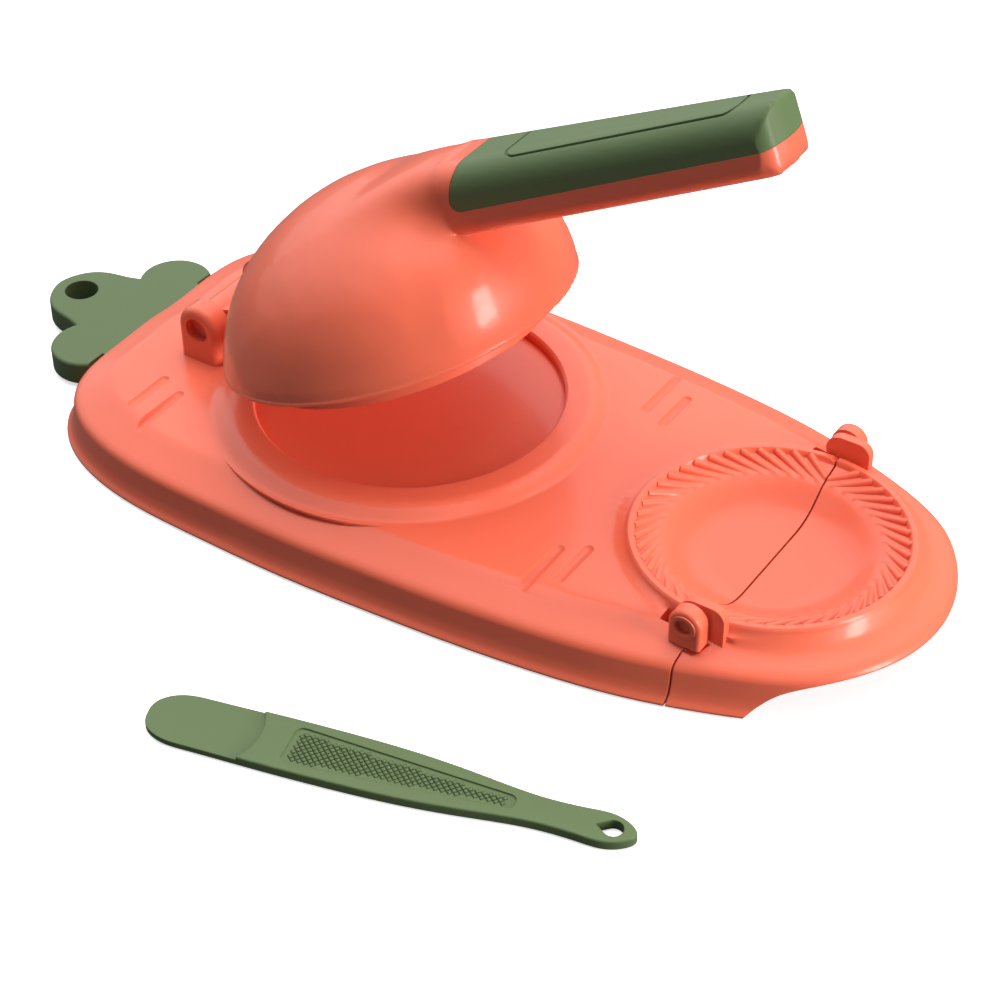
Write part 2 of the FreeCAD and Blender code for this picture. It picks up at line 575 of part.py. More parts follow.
def handle_pieces():
    """Green cover and coral lower half, in the handle's own axes."""
    whole = handle_loft(0, HANDLE_LENGTH + 4, 0).common(handle_end())
    hollow = handle_loft(8.0, HANDLE_LENGTH - 7.0, HANDLE_WALL)
    high = 2 * HANDLE_TOP_ROOT
    side = [Vector(0, -40, 0), Vector(200, -40, 0), Vector(200, -40, high), Vector(2 * COVER_LEAN, -40, high)]
    region = Part.Face(Part.Wire(lines(side + side[:1]))).extrude(Vector(0, 80, 0))
    foot = [e for e in region.Edges if e.BoundBox.XMax < 0.1 and e.BoundBox.ZMax < 0.1]
    region = region.makeFillet(COVER_CORNER, foot)
    lower = whole.cut(region).cut(hollow.cut(region))
    region.translate(Vector(0.2, 0, 0))
    upper = whole.common(region).cut(hollow)
    floor = -HANDLE_BOTTOM + HANDLE_WALL
    bosses = [post(x, 0, 3.4, floor, handle_top(x) - 1.0) for x in HANDLE_SCREW_AT]
    upper = upper.fuse(bosses)
    for x in HANDLE_SCREW_AT:
        upper = upper.cut(post(x, 0, SCREW_R + SCREW_CLEAR, floor - 1, floor + 10.0))
        lower = lower.cut(post(x, 0, SCREW_R + 0.3, -30, 0))
        lower = lower.cut(post(x, 0, SCREW_HEAD_R + 0.3, -30, floor - HANDLE_WALL + 1.0))
    x0, x1, w = ENGRAVE_FROM, ENGRAVE_TO, ENGRAVE_WIDTH
    half0, half1 = ENGRAVE_HALF
    corner = ENGRAVE_CORNER
    line = rounded_plan(x0, x1, half0, half1, corner, 2, high)
    line = line.cut(rounded_plan(x0 + w, x1 - w, half0 - w, half1 - w, corner - w, 1, high + 1))
    line = line.cut(handle_loft(0, HANDLE_LENGTH, ENGRAVE_DEPTH))
    upper = upper.cut(line)
    return upper.removeSplitter(), lower.removeSplitter()


def lid_pieces():
    """Lid, cover and press plate with their screws, on the closed lid."""
    outside = dome_solid(DOME_R, DOME_H)
    inside = dome_solid(DOME_R - WALL, DOME_H - WALL)
    cover, lower = handle_pieces()
    dome = outside.fuse(on_handle(neck()))
    dome = dome.cut(inside)
    dome = dome.common(box(-200, 200, -100, 100, RIM_Z, 200))
    bead = Part.makeTorus(DOME_R - BEAD_R + 0.4, BEAD_R, Vector(0, 0, RIM_Z), Vector(0, 0, 1))
    arm = box(HINGE_X, -50.0, -BARREL_HALF + 1.0, BARREL_HALF - 1.0, RIM_Z - 0.2, HINGE_Z + 3.0).cut(inside)
    arm = arm.cut(post(0, 0, DOME_R - WALL, RIM_Z - 5, RIM_Z + 0.01))
    barrel = rod(HINGE_X, HINGE_Z, BARREL_R, -BARREL_HALF, BARREL_HALF)
    bosses = []
    screws = []
    seat = PLATE_Z + 8.1
    for i in range(PLATE_SCREWS):
        turn = math.radians(45 + 360 / PLATE_SCREWS * i)
        x, y = PLATE_SCREW_R * math.cos(turn), PLATE_SCREW_R * math.sin(turn)
        fin = box(PLATE_SCREW_R, PLATE_SCREW_R + 9.0, -1.2, 1.2, seat + 2.5, seat + 14.0)
        fin.rotate(Vector(0, 0, 0), Vector(0, 0, 1), math.degrees(turn))
        bosses.append(post(x, y, 3.0, seat + 2.5, seat + 14.0).fuse(fin).common(outside))
        fixing = screw(9.0)
        fixing.translate(Vector(x, y, seat))
        screws.append(fixing)
    dome = dome.fuse([bead, arm, barrel, on_handle(lower)] + bosses).removeSplitter()
    dome = dome.cut(rod(HINGE_X, HINGE_Z, HINGE_PIN_R, -40, 40))

    flange = post(0, 0, PLATE_FLANGE_R, seat, seat + 2.5)
    drum = post(0, 0, PLATE_R, PLATE_Z, seat + 2.5)
    edge = [e for e in drum.Edges if e.BoundBox.ZMax < PLATE_Z + 0.01 and e.BoundBox.XLength > 1]
    drum = drum.makeFillet(0.8, edge)
    plate = drum.fuse(flange).removeSplitter().cut(post(0, 0, PLATE_R - WALL, PLATE_Z + WALL, seat + 9))
    long = PLATE_R - 1
    ribs = [box(-long, long, -1, 1, PLATE_Z + 1, seat), box(-1, 1, -long, long, PLATE_Z + 1, seat)]
    plate = plate.fuse(ribs).removeSplitter()
    for fixing in screws:
        at = fixing.BoundBox.Center
        plate = plate.cut(post(at.x, at.y, SCREW_R + 0.3, seat - 5, seat + 5))
        dome = dome.cut(post(at.x, at.y, SCREW_R + SCREW_CLEAR, seat, seat + 9.2))
    handle_screws = []
    for x in HANDLE_SCREW_AT:
        fixing = screw(9.5)
        fixing.translate(Vector(x, 0, -HANDLE_BOTTOM + 1.0))
        handle_screws.append(on_handle(fixing))
    pin = rod(HINGE_X, HINGE_Z, HINGE_PIN_R, -HINGE_PIN_END, HINGE_PIN_END)
    return {
        "lid_dome": dome, "handle_cover": on_handle(cover), "press_plate": plate,
        "plate_screws": Part.makeCompound(screws), "handle_screws": Part.makeCompound(handle_screws),
        "lid_hinge_pin": pin,
    }


def spatula():
    half = [Vector(u, w, 0) for u, w in SPATULA_OUTLINE]
    other = [Vector(u, -w, 0) for u, w in reversed(SPATULA_OUTLINE)]
    loop = spline([Vector(0, 0, 0)] + half + [Vector(SPATULA_LENGTH, 0, 0)] + other, True)
    solid = Part.Face(Part.Wire(loop.toShape())).extrude(Vector(0, 0, SPATULA_THICK))
    disc = post(BLADE_STEP - BLADE_STEP_R, 0, BLADE_STEP_R, BLADE_THICK, 9)
    thin = disc.fuse(box(-10, BLADE_STEP - BLADE_STEP_R, -30, 30, BLADE_THICK, 9))
    solid = solid.cut(thin)
    rims = [e for e in solid.Edges if e.BoundBox.ZLength < 0.01 and e.BoundBox.XLength > 60]
    solid = solid.makeFillet(0.6, rims)
    wide, narrow = GRIP_HALF
    floor = SPATULA_THICK - GRIP_DEPTH
    solid = solid.cut(rounded_plan(GRIP_FROM, GRIP_TO, wide, narrow, 2.4, floor, SPATULA_THICK + 2))
    tail = math.sqrt(EYE_POINT ** 2 - EYE_R ** 2)
    side = EYE_R * tail / EYE_POINT
    back = EYE_R ** 2 / EYE_POINT
    drop = [Vector(EYE_U - EYE_POINT, 0, -1), Vector(EYE_U - back, side, -1), Vector(EYE_U - back, -side, -1)]
    point = Part.Face(Part.Wire(lines(drop + drop[:1]))).extrude(Vector(0, 0, 9))
    solid = solid.cut(post(EYE_U, 0, EYE_R, -1, 9).fuse(point))
    solid.rotate(Vector(0, 0, 0), Vector(0, 0, 1), SPATULA_TURN)
    solid.translate(Vector(SPATULA_AT[0], SPATULA_AT[1], 0))
    return solid


def swung(shape):
    """Swings a piece of the closed lid up to where it rests."""
    shape = shape.copy()
    shape.rotate(Vector(HINGE_X, 0, HINGE_Z), Vector(0, -1, 0), LID_OPEN)
    return shape


def leaf_fixings():
    fixings = []
    for x, y in LEAF_SCREW_AT:
        fixing = screw(10.0)
        fixing.translate(Vector(x, y, LEAF_BOTTOM + 3.4))
        fixings.append(fixing)
    return Part.makeCompound(fixings)


def main():
    os.makedirs("parts", exist_ok=True)
    base, tip = tray_pieces()
    nodes = {"base_tray": base, "tip_tray": tip, "leaf_top": leaf(), "leaf_screws": leaf_fixings()}
    nodes["base_feet"] = Part.makeCompound([foot(x, y) for x, y in FOOT_AT])
    for name, shape in lid_pieces().items():
        nodes[name] = swung(shape)
    nodes["mould_pin_near"] = fold_pin(-1)
    nodes["mould_pin_far"] = fold_pin(1)
    nodes["spatula"] = spatula()
    for name, shape in nodes.items():
        solids = shape.Solids
        print(name, "solids", len(solids), "valid", shape.isValid(), "volume", round(shape.Volume, 1))
        if len(solids) == 1:
            shape = solids[0]
        shape.exportStep("parts/" + name + ".step")


main()
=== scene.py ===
import json
import math
from collections import namedtuple

import bmesh
import bpy
import numpy as np
from mathutils import Matrix, Vector


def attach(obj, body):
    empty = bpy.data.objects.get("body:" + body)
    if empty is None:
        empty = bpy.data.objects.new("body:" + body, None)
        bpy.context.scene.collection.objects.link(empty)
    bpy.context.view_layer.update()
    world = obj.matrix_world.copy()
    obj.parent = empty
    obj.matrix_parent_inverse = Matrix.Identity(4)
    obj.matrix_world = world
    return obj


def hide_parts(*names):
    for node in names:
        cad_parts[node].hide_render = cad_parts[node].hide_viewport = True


bl_info = {
    "name": "Dumpling Press",
    "version": (1, 0, 0),
    "blender": (4, 5, 0),
    "location": "View3D > Sidebar > Dumpling Press",
    "description": "Builds the looks of a dumpling press around its fixed parts",
    "category": "Add Mesh",
}

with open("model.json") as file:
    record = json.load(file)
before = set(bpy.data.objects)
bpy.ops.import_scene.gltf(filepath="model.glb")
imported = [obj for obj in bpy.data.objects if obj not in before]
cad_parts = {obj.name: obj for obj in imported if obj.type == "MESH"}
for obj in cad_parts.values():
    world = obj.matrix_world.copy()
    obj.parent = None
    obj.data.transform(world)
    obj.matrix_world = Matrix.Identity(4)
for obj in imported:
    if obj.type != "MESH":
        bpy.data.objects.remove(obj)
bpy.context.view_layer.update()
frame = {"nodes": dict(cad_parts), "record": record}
NODES = frame["nodes"]
JOINTS = {joint["name"]: joint for joint in frame["record"]["behaviour"]["joints"]}
MM_PER_M = 1000

# Linear colours.
CORAL = (0.87, 0.155, 0.080)
GREEN = (0.114, 0.169, 0.072)
ZINC = (0.62, 0.63, 0.65, 1)
FOOT_BLACK = (0.025, 0.023, 0.022, 1)
WHITE = (1, 1, 1, 1)
PALE_SKY = (0.95, 0.97, 1.0, 1)

# Faces that meet at less than this are shaded as one. The lid's relaxed neck takes a wider angle.
EDGE_ANGLE = math.radians(34)
NECK_ANGLE = math.radians(42)

# Points closer than this are merged, and edges shorter than this are dissolved.
MERGE_GAP = 2e-6
SHORTEST_EDGE = 1e-6

# The handle with the lid closed: where its cover starts on the parting line, and the line's rise.
COVER_START = Vector((0.0489, 0, 0.0692))
HANDLE_RISE = math.radians(6.9)

# Spans over which the blends of the lid fade, in millimetres. Those of the neck and the handle's
# end are along the handle, across it and above its parting line.
COVER_EDGE = (-7, -1.5)
NECK_BACK = (-74, -52)
NECK_SIDES = (38, 50)
NECK_UNDERSIDE = (-38, -24)
HANDLE_END = (109, 113)
END_EDGE = (2.5, 5.5)

# Those of the dome are up from the table and along the press with the lid closed.
DOME_RIM = (31, 35)
DOME_BACK = (-52, -44)

# Those of the mould's rim are out from its middle, away from the fold and up from the table.
RIM_INSIDE = (45.0, 46.4)
RIM_OUTSIDE = (51.5, 54.5)
FOLD_EARS = (11.2, 13.5)
RIM_FOOT = (14.8, 15.8)

# How strongly the lighter blends act, as shares of a full one.
DOME_SHARE = 0.7
LID_END_SHARE = 0.12
COVER_END_SHARE = 0.8

# How a blend is worked in: passes that halve long edges, the least weight that counts, and the
# share of the way to its neighbours that a point moves in a round.
REFINE_PASSES = 6
LEAST_WEIGHT = 0.01
RELAX_SHARE = 0.5

# Where the spatula's blade end lies on the table, and how far it is turned.
SPATULA_PLACE = Vector((0.0102, -0.1496, 0))
SPATULA_TURN = math.radians(13.2)

# The recess of its grip, which narrows toward the eye, and the stretch of it that has studs.
GRIP_FLOOR = 0.0029
GRIP_START, GRIP_LENGTH = 0.045, 0.070
GRIP_HALF_WIDE, GRIP_HALF_NARROW = 0.0076, 0.0026
GRIP_MARGIN = 0.0016
STUDS_START, STUDS_LENGTH = 0.0475, 0.066
STUD_TOP_RADIUS = 0.00035
FEWEST_STUD_FACES = 100

# The camera that fits the photograph: round the press, above the table, and its own tilt.
CAMERA_TURN = math.radians(33.81)
CAMERA_RISE = math.radians(38.93)
CAMERA_ROLL = math.radians(-0.59)
CAMERA_AIM = Vector((0.04142, -0.00897, 0))
CAMERA_DISTANCE = 0.78969
CAMERA_LENS, CAMERA_SENSOR = 86.75, 36.0
CAMERA_NEAR, CAMERA_FAR = 0.01, 20

# The stage: what the lamps aim at, the middle of the bright quarter and the cosine where it ends.
LAMP_AIM = Vector((0.04, -0.02, 0.03))
SKY_MIDDLE = Vector((-0.50, 0.40, 0.77)).normalized()
SKY_END = 0.25
BOUNCE_SHARE = 1.1
FLOOR_HALF_SIDE = 3
FLOOR_DROP = 0.0004


class PressCoralSettings(bpy.types.PropertyGroup):
    colour: bpy.props.FloatVectorProperty(
        name="Colour", description="Colour of the coral plastic",
        subtype="COLOR", size=3, min=0, max=1, default=CORAL)
    roughness: bpy.props.FloatProperty(
        name="Roughness", description="Roughness of the coral plastic", min=0, max=1, default=0.40)
    edge: bpy.props.FloatProperty(
        name="Edge", description="Softness of the moulded edges",
        unit="LENGTH", min=0, max=0.002, default=0.0005)


class PressGreenSettings(bpy.types.PropertyGroup):
    colour: bpy.props.FloatVectorProperty(
        name="Colour", description="Colour of the green plastic",
        subtype="COLOR", size=3, min=0, max=1, default=GREEN)
    roughness: bpy.props.FloatProperty(
        name="Roughness", description="Roughness of the green plastic", min=0, max=1, default=0.42)
    edge: bpy.props.FloatProperty(
        name="Edge", description="Softness of the moulded edges",
        unit="LENGTH", min=0, max=0.002, default=0.0005)


class PressSpatulaSettings(bpy.types.PropertyGroup):
    pitch: bpy.props.FloatProperty(
        name="Pitch", description="Distance between the studs of the grip",
        unit="LENGTH", min=0.001, max=0.006, default=0.0021)
    stud: bpy.props.FloatProperty(
        name="Stud", description="Height of a stud of the grip",
        unit="LENGTH", min=0.0001, max=0.0005, default=0.00030)


class PressStageSettings(bpy.types.PropertyGroup):
    window: bpy.props.FloatProperty(
        name="Window", description="Power of the window light",
        subtype="POWER", min=0, max=200, default=9.0)
    overhead: bpy.props.FloatProperty(
        name="Overhead", description="Power of the soft light above",
        subtype="POWER", min=0, max=200, default=15.0)
    sky: bpy.props.FloatProperty(
        name="Sky", description="Strength of the bright quarter behind the leaf",
        min=0, max=4, default=1.20)
    fill: bpy.props.FloatProperty(
        name="Fill", description="Strength of the light from all round", min=0, max=2, default=0.15)


class PressSettings(bpy.types.PropertyGroup):
    coral: bpy.props.PointerProperty(
        name="Coral", description="Coral plastic pieces", type=PressCoralSettings)
    green: bpy.props.PointerProperty(
        name="Green", description="Green plastic pieces", type=PressGreenSettings)
    spatula: bpy.props.PointerProperty(
        name="Spatula", description="Grip of the spatula", type=PressSpatulaSettings)
    stage: bpy.props.PointerProperty(
        name="Stage", description="Floor, lights and camera", type=PressStageSettings)


# Finishes

def add_node(tree, kind, place, **inputs):
    """A new node with some of its inputs set; an underscore stands for a space in their names."""
    node = tree.nodes.new(kind)
    node.location = place
    for name, value in inputs.items():
        node.inputs[name.replace("_", " ")].default_value = value
    return node


def add_noise(tree, coords, place, scale, detail):
    """Noise on the piece's own coordinates."""
    noise = add_node(tree, "ShaderNodeTexNoise", place, Scale=scale, Detail=detail)
    tree.links.new(coords.outputs["Object"], noise.inputs["Vector"])
    return noise


def blank_material(name):
    """A new material, its node tree and its shader."""
    material = bpy.data.materials.new(name)
    material.use_nodes = True
    tree = material.node_tree
    return material, tree, tree.nodes["Principled BSDF"]


def moulded_group():
    """Shader group for moulded plastic: colour drift, roughness drift and a fine surface ripple."""
    group = bpy.data.node_groups.get("Moulded Plastic")
    if group:
        return group
    group = bpy.data.node_groups.new("Moulded Plastic", "ShaderNodeTree")
    face = group.interface
    face.new_socket("Colour", in_out="INPUT", socket_type="NodeSocketColor")
    face.new_socket("Roughness", in_out="INPUT", socket_type="NodeSocketFloat")
    face.new_socket("Edge", in_out="INPUT", socket_type="NodeSocketFloat")
    face.new_socket("Ripple", in_out="INPUT", socket_type="NodeSocketFloat")
    face.new_socket("Colour", in_out="OUTPUT", socket_type="NodeSocketColor")
    face.new_socket("Roughness", in_out="OUTPUT", socket_type="NodeSocketFloat")
    face.new_socket("Normal", in_out="OUTPUT", socket_type="NodeSocketVector")
    start = add_node(group, "NodeGroupInput", (-900, 0))
    end = add_node(group, "NodeGroupOutput", (700, 0))
    coords = add_node(group, "ShaderNodeTexCoord", (-900, -300))
    cloud = add_noise(group, coords, (-650, 250), scale=9.0, detail=3.0)
    drift = add_node(group, "ShaderNodeMapRange", (-420, 250), To_Min=0.95, To_Max=1.04)
    shade = add_node(group, "ShaderNodeHueSaturation", (-180, 250))
    grain = add_noise(group, coords, (-650, -150), scale=150.0, detail=4.0)
    span = add_node(group, "ShaderNodeMapRange", (-420, -120), To_Min=-0.03, To_Max=0.04)
    rough = add_node(group, "ShaderNodeMath", (-180, -60))
    rough.operation = "ADD"
    bevel = add_node(group, "ShaderNodeBevel", (-180, -320))
    bevel.samples = 6
    bump = add_node(group, "ShaderNodeBump", (350, -250), Distance=0.00006)
    links = group.links
    links.new(cloud.outputs["Fac"], drift.inputs["Value"])
    links.new(drift.outputs["Result"], shade.inputs["Value"])
    links.new(start.outputs["Colour"], shade.inputs["Color"])
    links.new(grain.outputs["Fac"], span.inputs["Value"])
    links.new(start.outputs["Roughness"], rough.inputs[0])
    links.new(span.outputs["Result"], rough.inputs[1])
    links.new(start.outputs["Edge"], bevel.inputs["Radius"])
    links.new(grain.outputs["Fac"], bump.inputs["Height"])
    links.new(start.outputs["Ripple"], bump.inputs["Strength"])
    links.new(bevel.outputs["Normal"], bump.inputs["Normal"])
    links.new(shade.outputs["Color"], end.inputs["Colour"])
    links.new(rough.outputs["Value"], end.inputs["Roughness"])
    links.new(bump.outputs["Normal"], end.inputs["Normal"])
    return group


def plastic(name, settings, ripple, gloss, coat, soft):
    """Moulded plastic with a clear skin, in the colour and finish of its settings."""
    known = bpy.data.materials.get(name)
    if known:
        return known
    material, tree, body = blank_material(name)
    looks = add_node(tree, "ShaderNodeGroup", (-350, 200))
    looks.node_tree = moulded_group()
    looks.inputs["Colour"].default_value = (*settings.colour, 1)
    looks.inputs["Roughness"].default_value = settings.roughness
    looks.inputs["Edge"].default_value = settings.edge
    looks.inputs["Ripple"].default_value = ripple
    tree.links.new(looks.outputs["Colour"], body.inputs["Base Color"])
    tree.links.new(looks.outputs["Roughness"], body.inputs["Roughness"])
    tree.links.new(looks.outputs["Normal"], body.inputs["Normal"])
    tree.links.new(looks.outputs["Normal"], body.inputs["Coat Normal"])
    body.inputs["IOR"].default_value = 1.5
    body.inputs["Specular IOR Level"].default_value = gloss
    body.inputs["Coat Weight"].default_value = coat
    body.inputs["Coat Roughness"].default_value = 0.14
    body.inputs["Subsurface Weight"].default_value = soft
    body.inputs["Subsurface Radius"].default_value = (0.004, 0.0016, 0.001)
    body.inputs["Subsurface Scale"].default_value = 1.0
    return material


def coral():
    """Glossy plastic of the tray, the tip and the lid."""
    settings = bpy.context.scene.press.coral
    return plastic("Coral Plastic", settings, ripple=0.10, gloss=0.5, coat=0.50, soft=0.10)


def green():
    """Satin plastic of the handle's cover, the leaf and the spatula."""
    settings = bpy.context.scene.press.green
    return plastic("Green Plastic", settings, ripple=0.16, gloss=0.3, coat=0.06, soft=0.0)


def steel():
    """Zinc plating of the screws."""
    material, tree, body = blank_material("Zinc Steel")
    coords = add_node(tree, "ShaderNodeTexCoord", (-800, 0))
    grain = add_noise(tree, coords, (-600, 0), scale=900.0, detail=3.0)
    tone = add_node(tree, "ShaderNodeMapRange", (-380, 120), To_Min=0.22, To_Max=0.42)
    tree.links.new(grain.outputs["Fac"], tone.inputs["Value"])
    tree.links.new(tone.outputs["Result"], body.inputs["Roughness"])
    body.inputs["Base Color"].default_value = ZINC
    body.inputs["Metallic"].default_value = 1.0
    return material


def rubber():
    """Matt rubber of the feet."""
    material, tree, body = blank_material("Foot Rubber")
    coords = add_node(tree, "ShaderNodeTexCoord", (-800, 0))
    grain = add_noise(tree, coords, (-600, 0), scale=700.0, detail=4.0)
    bump = add_node(tree, "ShaderNodeBump", (-300, -200), Distance=0.0001, Strength=0.4)
    tone = add_node(tree, "ShaderNodeMapRange", (-380, 150), To_Min=0.70, To_Max=0.85)
    tree.links.new(grain.outputs["Fac"], bump.inputs["Height"])
    tree.links.new(grain.outputs["Fac"], tone.inputs["Value"])
    tree.links.new(tone.outputs["Result"], body.inputs["Roughness"])
    tree.links.new(bump.outputs["Normal"], body.inputs["Normal"])
    body.inputs["Base Color"].default_value = FOOT_BLACK
    return material


# Moulded blends

Blend = namedtuple("Blend", "weigh spacing rounds")


def ramp(values, span):
    """Rises smoothly from 0 to 1 over a span."""
    low, high = span
    share = np.clip((values - low) / (high - low), 0, 1)
    return share * share * (3 - 2 * share)


def in_axes(points, axes):
    """Points seen from other axes, in millimetres, as three rows."""
    turn = np.array(axes.inverted())
    return MM_PER_M * (points @ turn[:3, :3].T + turn[:3, 3]).T


def lid_axes():
    """Axes that lie as the press's own do when the lid is closed."""
    hinge = Vector(JOINTS["lid_hinge"]["pos_m"])
    closed = math.radians(JOINTS["lid_hinge"]["range_deg"][0])
    return Matrix.Translation(hinge) @ Matrix.Rotation(closed, 4, "Y") @ Matrix.Translation(-hinge)


def handle_axes():
    """Along the handle from its cover's start, across it and above its parting line."""
    return lid_axes() @ Matrix.Translation(COVER_START) @ Matrix.Rotation(-HANDLE_RISE, 4, "Y")


def end_weight(along, out):
    """On the handle's end, away from the parting line."""
    return ramp(along, HANDLE_END) * ramp(out, END_EDGE)


def neck_weight(points):
    """Full on the neck and the crown round it, lighter on the dome, slight on the handle's end."""
    along, across, above = in_axes(points, handle_axes())
    x, _, z = in_axes(points, lid_axes())
    behind_cover = 1 - ramp(along, COVER_EDGE)
    beside = 1 - ramp(np.abs(across), NECK_SIDES)
    neck = behind_cover * ramp(along, NECK_BACK) * beside * ramp(above, NECK_UNDERSIDE)
    dome = DOME_SHARE * behind_cover * ramp(z, DOME_RIM) * ramp(x, DOME_BACK)
    end = LID_END_SHARE * end_weight(along, -above)
    return np.maximum(np.maximum(neck, dome), end)


def cover_weight(points):
    """On the cover's end of the handle."""
    along, _, above = in_axes(points, handle_axes())
    return COVER_END_SHARE * end_weight(along, above)


def rim_weight(points):
    """On the foot of the mould's rim, clear of the fold and its ears."""
    x, y, z = MM_PER_M * points.T
    from_fold = x - MM_PER_M * JOINTS["tip_fold"]["pos_m"][0]
    out = np.hypot(from_fold, y)
    foot = ramp(out, RIM_INSIDE) * (1 - ramp(out, RIM_OUTSIDE))
    return foot * ramp(np.abs(from_fold), FOLD_EARS) * ramp(z, RIM_FOOT)


# Each weight with the longest edge where it acts, in metres, and the rounds of relaxing.
NECK_BLEND = Blend(neck_weight, spacing=0.0014, rounds=190)
COVER_BLEND = Blend(cover_weight, spacing=0.0008, rounds=12)
RIM_BLEND = Blend(rim_weight, spacing=0.0008, rounds=90)


def refine(work, blend):
    """Divides the long edges where a blend acts."""
    for _ in range(REFINE_PASSES):
        work.verts.index_update()
        heavy = blend.weigh(np.array([v.co for v in work.verts])) > LEAST_WEIGHT
        long_edges = [
            edge for edge in work.edges
            if any(heavy[v.index] for v in edge.verts) and edge.calc_length() > blend.spacing
        ]
        if not long_edges:
            break
        bmesh.ops.subdivide_edges(work, edges=long_edges, cuts=1)
        bmesh.ops.triangulate(work, faces=[f for f in work.faces if len(f.verts) > 3])


def relax(work, blend):
    """Moves each point toward the middle of its neighbours, as far as the blend's weight says."""
    work.verts.index_update()
    points = np.array([v.co for v in work.verts])
    pairs = np.array([[v.index for v in edge.verts] for edge in work.edges])
    share = RELAX_SHARE * blend.weigh(points)[:, None]
    count = np.maximum(np.bincount(pairs.ravel(), minlength=len(points)), 1)[:, None]
    for _ in range(blend.rounds):
        total = np.zeros_like(points)
        for axis in range(3):
            total[:, axis] += np.bincount(pairs[:, 0], points[pairs[:, 1], axis], len(points))
            total[:, axis] += np.bincount(pairs[:, 1], points[pairs[:, 0], axis], len(points))
        points = points + share * (total / count - points)
    for vert, place in zip(work.verts, points):
        vert.co = place


# Pieces that follow the fixed parts

def mark_sharp(work, limit):
    """Smooth faces, with sharp edges where they meet at the limit or more."""
    work.normal_update()
    for face in work.faces:
        face.smooth = True
    for edge in work.edges:
        edge.smooth = len(edge.link_faces) == 2 and edge.calc_face_angle(0) < limit


def plain_mesh(piece):
    """The piece's mesh with its modifiers worked in."""
    bpy.context.view_layer.update()
    done = piece.evaluated_get(bpy.context.evaluated_depsgraph_get())
    mesh = bpy.data.meshes.new_from_object(done)
    piece.modifiers.clear()
    piece.data = mesh
    return mesh


def smooth_copy(node, name, limit, blend):
    """A joined copy of a fixed part, blended, and smooth where its faces meet below the limit."""
    mesh = NODES[node].data.copy()
    work = bmesh.new()
    work.from_mesh(mesh)
    bmesh.ops.remove_doubles(work, verts=work.verts, dist=MERGE_GAP)
    bmesh.ops.dissolve_degenerate(work, edges=work.edges, dist=SHORTEST_EDGE)
    if blend:
        refine(work, blend)
        relax(work, blend)
    mark_sharp(work, limit)
    work.to_mesh(mesh)
    work.free()
    piece = bpy.data.objects.new(name, mesh)
    bpy.context.scene.collection.objects.link(piece)
    even = piece.modifiers.new("Even", "WEIGHTED_NORMAL")
    even.keep_sharp = True
    even.weight = 60
    plain_mesh(piece).name = name
    return piece


def dress(node, name, body, material, limit=EDGE_ANGLE, blend=None):
    """Puts a finished copy of a fixed part in its place."""
    piece = smooth_copy(node, name, limit, blend)
    piece.data.materials.clear()
    piece.data.materials.append(material)
    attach(piece, body)
    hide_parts(node)


class PRESS_OT_tray(bpy.types.Operator):
    """Adds the tray, the folding tip and their pins"""
    bl_idname = "press.tray"
    bl_label = "Tray and Tip"

    def execute(self, context):
        dress("base_tray", "Tray", "base", coral(), blend=RIM_BLEND)
        dress("tip_tray", "Folding_Tip", "tip", coral(), blend=RIM_BLEND)
        dress("mould_pin_near", "Near_Fold_Pin", "tip", coral())
        dress("mould_pin_far", "Far_Fold_Pin", "tip", coral())
        return {"FINISHED"}


class PRESS_OT_lid(bpy.types.Operator):
    """Adds the domed lid, its press plate and its hinge pin"""
    bl_idname = "press.lid"
    bl_label = "Lid"

    def execute(self, context):
        dress("lid_dome", "Domed_Lid", "lid", coral(), limit=NECK_ANGLE, blend=NECK_BLEND)
        dress("press_plate", "Press_Plate", "lid", coral())
        dress("lid_hinge_pin", "Lid_Hinge_Pin", "lid", coral())
        return {"FINISHED"}


class PRESS_OT_green(bpy.types.Operator):
    """Adds the handle's cover and the leaf"""
    bl_idname = "press.green"
    bl_label = "Handle Cover and Leaf"

    def execute(self, context):
        dress("handle_cover", "Handle_Cover", "lid", green(), blend=COVER_BLEND)
        dress("leaf_top", "Leaf", "base", green())
        return {"FINISHED"}


class PRESS_OT_fixings(bpy.types.Operator):
    """Adds the screws and the feet"""
    bl_idname = "press.fixings"
    bl_label = "Screws and Feet"

    def execute(self, context):
        zinc = steel()
        dress("leaf_screws", "Leaf_Screws", "base", zinc)
        dress("plate_screws", "Plate_Screws", "lid", zinc)
        dress("handle_screws", "Handle_Screws", "lid", zinc)
        dress("base_feet", "Feet", "base", rubber())
        return {"FINISHED"}


# Spatula

